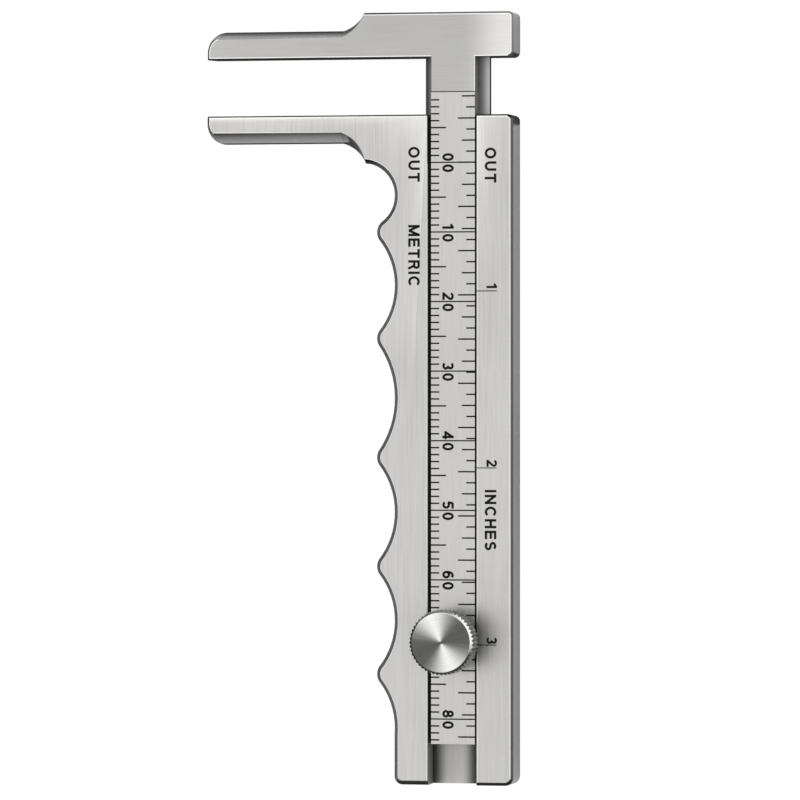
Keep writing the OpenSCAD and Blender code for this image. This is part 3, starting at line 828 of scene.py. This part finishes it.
def letter_strokes(pen: float) -> dict[str, tuple[float, list[list[Point]]]]:
    """Draws a plain sans-serif alphabet as strokes of one pen, for a cap height of 1.

    Args:
        pen: Width of the pen.

    Returns:
        Width and strokes of each character.
    """
    a = pen / 2
    b = 1 - a
    middle = 0.52
    bowl = (b - middle) / 2
    digit = 0.66
    c = digit / 2
    small = (1 - 2 * a) / 4
    return {
        "0": (digit, [arc(c, 0.5, c - a, 0.5 - a, 0, 360)]),
        "1": (0.41, [[(0.41 - a, 0), (0.41 - a, 1)], [(0.41 - a, b), (0.0, 0.74)]]),
        "2": (digit, [arc(c, 0.71, c - a, 0.29 - a, 170, -38) + [(a, a)], [(0, a), (digit, a)]]),
        "3": (
            digit,
            [arc(c, b - small, c - a - 0.02, small, 155, -90), arc(c, a + small, c - a, small, 90, -155)],
        ),
        "4": (0.7, [[(0.5, 0), (0.5, 1)], [(0.5, b), (a, 0.3)], [(0, 0.28), (0.7, 0.28)]]),
        "5": (
            digit,
            [
                [(0.14, b), (digit - 0.03, b)],
                [(0.17, b), (0.1, 0.48)],
                arc(c - 0.02, 0.34, c - a + 0.01, 0.34 - a, 140, -150),
            ],
        ),
        "6": (
            digit,
            [arc(c, 0.34, c - a, 0.34 - a, 0, 360), arc(c + 0.06, 0.46, c - a + 0.06, 0.54 - a, 190, 55)],
        ),
        "7": (digit, [[(0, b), (digit, b)], [(digit - a, b), (0.22, 0)]]),
        "8": (
            digit, [arc(c, b - small, c - a - 0.04, small, 0, 360), arc(c, a + small, c - a, small, 0, 360)]
        ),
        "C": (0.86, [arc(0.46, 0.5, 0.46 - a, 0.5 - a, 42, 318)]),
        "E": (
            0.72, [[(a, 0), (a, 1)], [(a, b), (0.72, b)], [(a, middle), (0.68, middle)], [(a, a), (0.72, a)]]
        ),
        "H": (0.78, [[(a, 0), (a, 1)], [(0.78 - a, 0), (0.78 - a, 1)], [(a, middle), (0.78 - a, middle)]]),
        "I": (pen, [[(a, 0), (a, 1)]]),
        "M": (
            0.95,
            [
                [(a, 0), (a, 1)],
                [(0.95 - a, 0), (0.95 - a, 1)],
                [(a, 1 - 0.6 * a), (0.475, 0.6 * a)],
                [(0.95 - a, 1 - 0.6 * a), (0.475, 0.6 * a)],
            ],
        ),
        "N": (0.79, [[(a, 0), (a, 1)], [(0.79 - a, 0), (0.79 - a, 1)], [(a, b), (0.79 - a, a)]]),
        "O": (0.93, [arc(0.465, 0.5, 0.465 - a, 0.5 - a, 0, 360)]),
        "R": (
            0.78,
            [
                [(a, 0), (a, 1)],
                [(a, b), (0.46, b)] + arc(0.48, b - bowl, 0.26 - a, bowl, 90, -90) + [(a, middle)],
                [(0.46, middle), (0.71, 0)],
            ],
        ),
        "S": (
            0.74,
            [
                arc(0.37, b - small, 0.37 - a - 0.02, small, 28, 270)
                + arc(0.37, a + small, 0.37 - a, small, 90, -152)[1:]
            ],
        ),
        "T": (0.77, [[(0, b), (0.77, b)], [(0.385, b), (0.385, 0)]]),
        "U": (
            0.8,
            [
                [(a, 1), (a, 0.4)]
                + arc(0.4, 0.4, 0.4 - a, 0.4 - a, 180, 360)[1:-1]
                + [(0.8 - a, 0.4), (0.8 - a, 1)]
            ],
        ),
    }


def paint_strokes(strokes: list[list[Point]], pen: float, size: float) -> Object:
    """Lays strokes of paint with a low crown on the plane Z = 0.

    Args:
        strokes: The strokes, as points; one that ends where it starts is closed.
        pen: Width of the strokes, in the unit of the points.
        size: That unit in metres.

    Returns:
        The mesh object.
    """
    curve = bpy.data.curves.new("strokes", "CURVE")
    curve.dimensions = "3D"
    curve.bevel_depth = pen / 2
    curve.bevel_resolution = 1
    curve.use_fill_caps = True
    for stroke in strokes:
        closed = math.dist(stroke[0], stroke[-1]) < 1e-6
        points = stroke[:-1] if closed else stroke
        spline = curve.splines.new("POLY")
        spline.points.add(len(points) - 1)
        for point, (x, y) in zip(spline.points, points):
            point.co = (x, y, 0.0, 1.0)
        spline.use_cyclic_u = closed
    paint = bpy.data.objects.new("strokes", curve)
    bpy.context.scene.collection.objects.link(paint)
    deselect()
    paint.select_set(True)
    bpy.context.view_layer.objects.active = paint
    bpy.ops.object.convert(target="MESH")
    paint = bpy.context.object
    paint.data.transform(Matrix.Diagonal((size, size, 2 * PROUD * MM / pen, 1.0)))
    return paint


@dataclass
class Marking:
    """One line of lettering that reads downwards, with the tops of the letters to the right.

    Attributes:
        text: The characters.
        left: Left edge, which is the foot of the letters, in millimetres.
        top: Where the first character starts along Y, in millimetres.
        height: Cap height, in millimetres.
        level: Height of the face that carries it, in metres.
        gap: Space between letters, as a share of the cap height.
        pen: Width of the strokes, as a share of the cap height.
    """

    text: str
    left: float
    top: float
    height: float
    level: float
    gap: float = 0.2
    pen: float = 0.21

    @property
    def length(self) -> float:
        """Measures the line.

        Returns:
            Its length along Y, in millimetres.
        """
        table = letter_strokes(self.pen)
        widths = [table[letter][0] for letter in self.text]
        return (sum(widths) + self.gap * (len(widths) - 1)) * self.height

    def build(self) -> Object:
        """Builds the lettering as strokes of paint with a low crown.

        Returns:
            The mesh object, at its place in its mesh.
        """
        table = letter_strokes(self.pen)
        line: list[list[Point]] = []
        along = 0.0
        for letter in self.text:
            width, strokes = table[letter]
            line += [[(along + x, y) for x, y in stroke] for stroke in strokes]
            along += width + self.gap
        letters = paint_strokes(line, self.pen, self.height * MM)
        place = Vector((self.left * MM, self.top * MM, self.level))
        turn = Matrix.Rotation(math.radians(-90), 4, "Z")
        letters.data.transform(Matrix.Translation(place) @ turn)
        return letters


def join(pieces: list[Object], name: str) -> Object:
    """Joins pieces into one object.

    Args:
        pieces: The mesh objects to join.
        name: The joined object's name.

    Returns:
        The joined object.
    """
    deselect()
    for piece in pieces:
        piece.select_set(True)
    bpy.context.view_layer.objects.active = pieces[0]
    if len(pieces) > 1:
        bpy.ops.object.join()
    joined = bpy.context.object
    joined.name = name
    return joined


@dataclass
class Body:
    """The two rails, the back plate between them and their fasteners, with the words and inch numerals."""

    # lefts are X of the feet of the letters; drops run down from the rail's top or from an inch line
    word_height: float = 1.7
    grip_word_left: float = 7.54
    guide_word_left: float = 18.75
    out_drop: float = 4.64
    out_gap: float = 0.23
    guide_out_drop: float = 4.84
    metric_drop: float = 15.88
    metric_gap: float = 0.18
    inches_drop: float = 3.1
    inch_lines: int = 3
    numeral_height: float = 1.55
    numeral_left: float = 19.0
    numeral_gap: float = 0.2
    one_clearance: float = 0.25
    # how far paint keeps from the rail's ends, and how deep under its face the marks' floors lie
    clear_end: float = 2.0
    mark_floor: tuple[float, float] = (0.108, 0.092)

    def steels(self) -> dict[str, Material]:
        """Builds the steels of the two rails.

        Returns:
            The steel of each rail, by the rail's node.
        """
        low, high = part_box("guide_rail")
        clear = self.clear_end * MM
        satin = ("D2D1CF", "BFBEBC", (0.26, 0.34), Grain.ALONG)
        # long marks give it a soft sheen across the rail; its sides and bevels are painted darker as shade,
        # the fixed jaw's bevels carry painted shade and a painted highlight, and its bevels are darker still
        # towards the jaw and at the lower end
        grip_steel = BrushedSteel(
            "brushed_grip_steel",
            *satin,
            flank="858585",
            flank_shade_and_highlight=(
                (36.5, "858585"),
                (36.8, "303030"),
                (36.98, "303030"),
                (37.05, "CCCCCC"),
                (38.4, "242424"),
                (40.76, "202020"),
                (40.82, "858585"),
                (41.0, "858585"),
            ),
            tones_end=-1.5,
            bevel_shades=(Fade("606060", 34.4, 33.4), Fade("606060", -55.2, -54.7)),
        ).build()
        # the same steel, with fine inch lines that keep black paint; its sides and bevels are painted darker
        # as shade, most at its ends
        guide_steel = EngravedSteel(
            "brushed_guide_steel",
            *satin,
            flank="707070",
            bevel="565656",
            bevel_shades=(Fade("808080", 40.35, 40.2), Fade("808080", -55.2, -54.7)),
            low=Vector((low.x, low.y + clear, high.z - self.mark_floor[0] * MM)),
            high=Vector((high.x - clear, high.y - clear, high.z - self.mark_floor[1] * MM)),
        ).build()
        return {"grip_rail": grip_steel, "guide_rail": guide_steel}

    def metal(self) -> None:
        """Dresses the rails, the plate and their fasteners."""
        # the floor lies deep between the rails, so it is duller, with painted shade along both walls
        floor = BrushedSteel(
            "brushed_floor_steel",
            "C6C5C3",
            "AEADAB",
            (0.34, 0.44),
            Grain.ALONG,
            face_shades=(Fade("6A6A6A", -3.7, -1.6), Fade("606060", 2.4, 0.4)),
        ).build()
        # screws are turned and a little greyer; ground pins are finer and lighter
        screw = TurnedPart("turned_screw_steel").build()
        pin = TurnedPart("ground_pin_steel", "C0C0BE", "AAAAA8", (0.22, 0.3)).build()
        edge = PolishedHighlightEdge().build()
        for node, steel in self.steels().items():
            piece = finished_copy(
                node,
                f"{node}_finished",
                [steel, edge],
                HIGHLIGHT_EDGE,
                chamfer=END_CHAMFER,
                tip=node == "grip_rail",
            )
            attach(piece, "frame")
            log.info("%s finished", node)
        dress_nodes(
            {
                "back_plate": floor,
                "grip_rail_screws": screw,
                "guide_rail_screws": screw,
                "grip_rail_dowels": pin,
                "guide_rail_dowels": pin,
                "stop_pin": pin,
            }
        )

    def words(self) -> None:
        """Builds the words and the inch numerals."""
        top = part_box("grip_rail")[1]
        face = top.y / MM
        level = top.z
        height = self.word_height
        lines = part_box("guide_rail")[1].y / MM
        inches = lines - 2 * INCH - self.inches_drop
        grip = [
            Marking("OUT", self.grip_word_left, face - self.out_drop, height, level, self.out_gap),
            Marking("METRIC", self.grip_word_left, face - self.metric_drop, height, level, self.metric_gap),
        ]
        guide = [
            Marking("OUT", self.guide_word_left, face - self.guide_out_drop, height, level, self.out_gap),
            Marking("INCHES", self.guide_word_left, inches, height, level),
        ]
        for count in range(1, self.inch_lines + 1):
            numeral = Marking(f"{count}", self.numeral_left, 0.0, self.numeral_height, level)
            clear = self.numeral_gap + (self.one_clearance if count == 1 else 0.0)
            numeral.top = lines - count * INCH + clear + numeral.length
            guide.append(numeral)
        paint = BlackPaint().build()
        for name, markings in (("grip_rail_words", grip), ("guide_rail_words", guide)):
            lettering = join([m.build() for m in markings], name)
            dress(lettering, paint)
            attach(lettering, "frame")
            log.info("%s built", name)

    def build(self) -> None:
        """Dresses the rails and builds their lettering."""
        self.metal()
        self.words()


@dataclass
class Slide:
    """The head with the moving jaw, the graduated bar with its lines and numerals, and the runner."""

    # places of the numerals round the lines across the slide, then the lines' widths and lengths
    head_height: float = 6.43
    zero_drop: float = 15.2
    digit_left: float = 12.49
    digit_height: float = 1.69
    gap_above: float = 0.2
    gap_below: float = 0.29
    one_clearance: float = 0.25
    last_ten: int = 8
    line_width: float = 0.22
    tens_width: float = 0.19
    mm_lengths: tuple[float, float] = (1.2, 2.2)
    sixteenth_lengths: tuple[float, float, float] = (1.25, 1.9, 2.45)
    end_margin: float = 0.2
    # where in the bar paint may lie: within its sides, and between these depths under its face
    side_margin: float = 0.004
    mark_floor: tuple[float, float] = (0.12, 0.01)

    def lines(self, low: Vector, high: Vector, zero: float) -> Object:
        """Builds the paint in the scale's lines: millimetres on the left edge, sixteenths on the right.

        Args:
            low: Lowest corner of the bar.
            high: Highest corner of the bar.
            zero: Y of the zero line, in millimetres.

        Returns:
            The painted lines.
        """
        left, right = low.x / MM, high.x / MM
        upper, lower = high.y / MM - self.end_margin, low.y / MM + self.end_margin
        tens: list[list[Point]] = []
        short: list[list[Point]] = []
        for i in range(math.ceil(zero - upper), math.floor(zero - lower) + 1):
            if i % 10 == 0:
                tens.append([(left, zero - i), (right, zero - i)])
            else:
                short.append([(left, zero - i), (left + self.mm_lengths[i % 5 == 0], zero - i)])
        step = INCH / 16
        for i in range(math.ceil((zero - upper) / step), math.floor((zero - lower) / step) + 1):
            length = self.sixteenth_lengths[(i % 2 == 0) + (i % 4 == 0)]
            short.append([(right - length, zero - i * step), (right, zero - i * step)])
        parts = [paint_strokes(tens, self.tens_width, MM), paint_strokes(short, self.line_width, MM)]
        for part in parts:
            part.data.transform(Matrix.Translation((0.0, 0.0, high.z)))
        return join(parts, "slide_lines")

    def metal(self) -> None:
        """Dresses the head, the bar, the runner and their fasteners."""
        # brushed along the jaw, so its sheen runs across; its bevels carry painted shade that darkens away
        # from the face, with a painted highlight along the face's edge, and its face carries painted shade
        # that lifts towards its right end
        jaw = BrushedSteel(
            "brushed_jaw_steel",
            "E3E2E0",
            "D3D2D0",
            (0.3, 0.4),
            Grain.ACROSS,
            flank="747474",
            bevel="787878",
            flank_shade_and_highlight=(
                (49.0, "505050"),
                (51.95, "505050"),
                (52.05, "EEEEEE"),
                (52.95, "202020"),
                (54.8, "202020"),
                (54.9, "5A5A5A"),
            ),
            tones_end=5.0,
            face_shades=(Fade("D0D0D0", 1.0, 8.0),),
        ).build()
        # the runner lies lower than the bar, with painted shade beside the neck's walls
        runner = BrushedSteel(
            "brushed_runner_steel",
            "CFCECC",
            "B9B8B6",
            (0.34, 0.44),
            Grain.ALONG,
            face_shades=(Fade("A0A0A0", 3.3, 4.6), Fade("989898", -4.5, -3.8)),
        ).build()
        screw = TurnedPart("slide_screw_steel").build()
        # cold-rolled spring steel is bluish and darker; the rivet is plain yellow brass
        spring = BrushedSteel(
            "rolled_spring_steel", "8E9298", "74787E", (0.25, 0.35), Grain.ALONG, 0.3
        ).build()
        brass = TurnedPart("machined_brass", "C9A55A", "B08D45", (0.25, 0.35)).build()
        low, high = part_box("scale_bar")
        margin = self.side_margin * MM
        # a finer satin, so that the black lines read clearly
        bar = EngravedSteel(
            "engraved_scale_steel",
            "D0CFCD",
            "C2C1BF",
            (0.28, 0.36),
            Grain.ALONG,
            low=Vector((low.x + margin, low.y + margin, high.z - self.mark_floor[0] * MM)),
            high=Vector((high.x - margin, high.y - margin, high.z - self.mark_floor[1] * MM)),
        ).build()
        edge = PolishedHighlightEdge("jaw_edge_highlight").build()
        piece = finished_copy(
            "moving_jaw",
            "moving_jaw_finished",
            [jaw, edge],
            HIGHLIGHT_EDGE,
            butt_end=True,
            chamfer=END_CHAMFER,
            tip=True,
        )
        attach(piece, "slide")
        log.info("moving_jaw finished")
        dress_nodes(
            {
                "scale_bar": bar,
                "slide_runner": runner,
                "bar_screws": screw,
                "head_pins": screw,
                "drag_spring": spring,
                "spring_rivet": brass,
            }
        )

    def marks(self) -> None:
        """Builds the lines and numerals of the scale."""
        low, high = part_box("scale_bar")
        head_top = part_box("moving_jaw")[1].y / MM
        zero = head_top - self.head_height - self.zero_drop
        digits = []
        for ten in range(self.last_ten + 1):
            line = zero - 10 * ten
            upper = Marking(f"{ten}", self.digit_left, 0.0, self.digit_height, high.z)
            upper.top = line + self.gap_above + (self.one_clearance if ten == 1 else 0.0) + upper.length
            lower = Marking("0", self.digit_left, line - self.gap_below, self.digit_height, high.z)
            digits += [upper.build(), lower.build()]
        paint = BlackPaint("slide_marking_paint").build()
        for piece in (join(digits, "slide_numerals"), self.lines(low, high, zero)):
            dress(piece, paint)
            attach(piece, "slide")
            log.info("%s built", piece.name)

    def build(self) -> None:
        """Dresses the slide and builds its lines and numerals."""
        self.metal()
        self.marks()


@dataclass
class Clamp:
    """The clamp: brass shoe, screw, knurled knob and its pin."""

    # depth under the knob's top down to which it has no painted shade, and width of its broken rims, painted
    # bright as a highlight
    unshaded_depth: float = 1.6
    rim_edge: float = 0.03

    def build(self) -> None:
        """Dresses the clamp's parts."""
        low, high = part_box("clamp_knob")
        centre = (low + high) / 2
        radius = (high.x - low.x) / 2 / MM
        top = high.z / MM
        unshaded_from = top - self.unshaded_depth
        knob = TurnedSteel("turned_knob_steel", "F2F2F0", "5E5E5D", centre, radius, unshaded_from).build()
        # the screw is a turned grey steel, the shoe a brass pad that doesn't mar the plate
        screw = TurnedPart("clamp_screw_steel").build()
        brass = TurnedPart("shoe_brass", "C9A55A", "B08D45", (0.25, 0.35)).build()
        edge = PolishedHighlightEdge("knob_edge_highlight", centre=Vector((centre.x, centre.y, high.z))).build()
        piece = finished_copy(
            "clamp_knob", "clamp_knob_finished", [knob, edge], self.rim_edge, bright_bevels=True
        )
        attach(piece, "knob")
        log.info("clamp_knob finished")
        dress_nodes({"clamp_screw": screw, "clamp_shoe": brass, "knob_pin": screw})


@dataclass
class Studio:
    """White table, soft lamp and the camera, which looks down from the right of the caliper."""

    camera_place: tuple[float, float, float] = (190.38, -0.215, 886.98)
    camera_yaw: float = 11.8
    lens: float = 281.5
    sensor: float = 36.0
    near: float = 10.0
    lamp_place: tuple[float, float, float] = (-200.0, 256.0, 500.0)
    lamp_aim: tuple[float, float, float] = (6.0, 0.0, 6.0)
    lamp_size: float = 160.0
    lamp_watts: float = 0.12
    table_radius: float = 700.0
    table_drop: float = 0.02
    # the part of the table between the jaws: its middle Y and half its height
    gap_middle: float = 44.5
    gap_half: float = 5.0
    reflected_shade_share: float = 0.9
    glow: float = 1.05
    glow_share: float = 0.9
    # the room's light by the Z of the direction, and the window's edges as cosines round its side
    room_light: float = 2.4
    room_levels: tuple[tuple[float, float], ...] = (
        (0.0, 0.05), (0.3, 0.12), (0.5, 0.5), (0.7, 0.68), (0.87, 0.5), (0.97, 0.36), (1.0, 0.34)
    )
    window_light: float = 1.0
    window_side: float = 30.0
    window_edges: tuple[float, float] = (0.62, 0.84)

    def table(self) -> None:
        """Builds the white table under the caliper."""
        deselect()
        bpy.ops.mesh.primitive_circle_add(
            vertices=96,
            radius=self.table_radius * MM,
            fill_type="NGON",
            location=(0, 0, -self.table_drop * MM),
        )
        table = bpy.context.object
        table.name = "table"
        # matt white laminate, which throws soft light up at the steel and shows no reflection
        material, tree = new_material("white_table")
        path = add_node(tree, "LightPath")
        place = add_node(tree, "TexCoord").outputs["Object"]
        parts = add_node(tree, "SeparateXYZ", {"Vector": place})
        # painted shade seen only in the steel's reflections: dark left of the caliper and between the jaws,
        # less past them
        beside, below, beyond, above, jaws = (
            add_node(
                tree,
                "MapRange",
                {"Value": parts.outputs[axis], "From Min": clear * MM, "From Max": dark * MM, "To Max": most},
                interpolation_type="SMOOTHSTEP",
            )
            for axis, clear, dark, most in (
                ("X", 0.0, -30.0, 1.0),
                ("Y", 34.0, 22.0, 1.0),
                ("X", -24.0, -34.0, 1.0),
                ("Y", 22.0, 34.0, 1.0),
                ("X", 10.0, 4.0, 0.62),
            )
        )
        thin = add_node(tree, "Math", {0: above, 1: jaws}, operation="MULTIPLY")
        left = add_node(tree, "Math", {0: beside, 1: below}, operation="MULTIPLY")
        reflected_shade = add_node(
            tree,
            "Math",
            {0: parts.outputs["Y"], 1: self.gap_middle * MM, 2: self.gap_half * MM},
            operation="COMPARE",
        )
        for part in (left, beyond, thin):
            reflected_shade = add_node(tree, "Math", {0: reflected_shade, 1: part}, operation="MAXIMUM")
        for factor in (self.reflected_shade_share, path.outputs["Is Glossy Ray"]):
            reflected_shade = add_node(tree, "Math", {0: reflected_shade, 1: factor}, operation="MULTIPLY")
        tone = add_node(
            tree, "Mix", {"Factor": reflected_shade, 6: linear("F2F2F2"), 7: linear("202020")}, data_type="RGBA"
        )
        top = add_node(tree, "BsdfDiffuse", {"Color": tone})
        glow = add_node(tree, "Emission", {"Color": (1, 1, 1, 1), "Strength": self.glow})
        # to the camera it is close to the plain white of the photo's ground, with a trace of shadow
        share = add_node(
            tree, "Math", {0: path.outputs["Is Camera Ray"], 1: self.glow_share}, operation="MULTIPLY"
        )
        mixed = add_node(tree, "MixShader", {0: share, 1: top, 2: glow})
        add_node(tree, "OutputMaterial", {"Surface": mixed})
        dress(table, material)

    def lamp(self) -> None:
        """Adds a square soft lamp that points at the middle of the caliper."""
        light = bpy.data.lights.new("key_lamp", "AREA")
        light.shape = "SQUARE"
        light.size = self.lamp_size * MM
        light.energy = self.lamp_watts
        lamp = bpy.data.objects.new("key_lamp", light)
        lamp.location = Vector(self.lamp_place) * MM
        aim = Vector(self.lamp_aim) * MM - lamp.location
        lamp.rotation_euler = aim.to_track_quat("-Z", "Y").to_euler()
        lamp.visible_camera = False
        bpy.context.scene.collection.objects.link(lamp)

    def world(self) -> None:
        """Sets the room light: soft boxes over a dim horizon and a window; the camera sees it as white."""
        world = bpy.data.worlds.new("studio")
        bpy.context.scene.world = world
        world.use_nodes = True
        tree = world.node_tree
        tree.nodes.clear()
        path = add_node(tree, "LightPath")
        way = add_node(tree, "TexCoord").outputs["Generated"]
        parts = add_node(tree, "SeparateXYZ", {"Vector": way})
        ring = add_node(tree, "ValToRGB", {"Fac": parts.outputs["Z"]})
        set_stops(ring, [(height, (level, level, level, 1.0)) for height, level in self.room_levels])
        toward = add_node(tree, "VectorMath", {0: way, 1: heading(self.window_side)}, operation="DOT_PRODUCT")
        window = add_node(
            tree,
            "MapRange",
            {
                "Value": toward,
                "From Min": self.window_edges[0],
                "From Max": self.window_edges[1],
                "To Max": self.window_light,
            },
            interpolation_type="SMOOTHSTEP",
        )
        level = add_node(tree, "Math", {0: ring, 1: self.room_light, 2: window}, operation="MULTIPLY_ADD")
        room = add_node(tree, "Background", {"Color": (1, 1, 1, 1), "Strength": level})
        white = add_node(tree, "Background", {"Color": (1, 1, 1, 1), "Strength": 1.0})
        mixed = add_node(tree, "MixShader", {0: path.outputs["Is Camera Ray"], 1: room, 2: white})
        add_node(tree, "OutputWorld", {"Surface": mixed})

    def camera(self) -> None:
        """Places the camera of the photograph."""
        data = bpy.data.cameras.new("camera")
        data.lens = self.lens
        data.sensor_width = self.sensor
        data.clip_start = self.near * MM
        camera = bpy.data.objects.new("camera", data)
        camera.location = Vector(self.camera_place) * MM
        camera.rotation_euler = (0.0, math.radians(self.camera_yaw), 0.0)
        bpy.context.scene.collection.objects.link(camera)
        bpy.context.scene.camera = camera

    def build(self) -> None:
        """Builds the table, lamp, room light and camera."""
        self.camera()
        self.table()
        self.world()
        self.lamp()
        bpy.context.scene.view_settings.view_transform = "Standard"
        log.info("studio built")


def main() -> None:
    """Builds the studio and dresses the caliper, one sub-assembly after the other."""
    logging.basicConfig(level=logging.INFO, format="%(name)s: %(message)s")
    for part in (Studio(), Body(), Slide(), Clamp()):
        part.build()


if __name__ == "__main__":
    main()
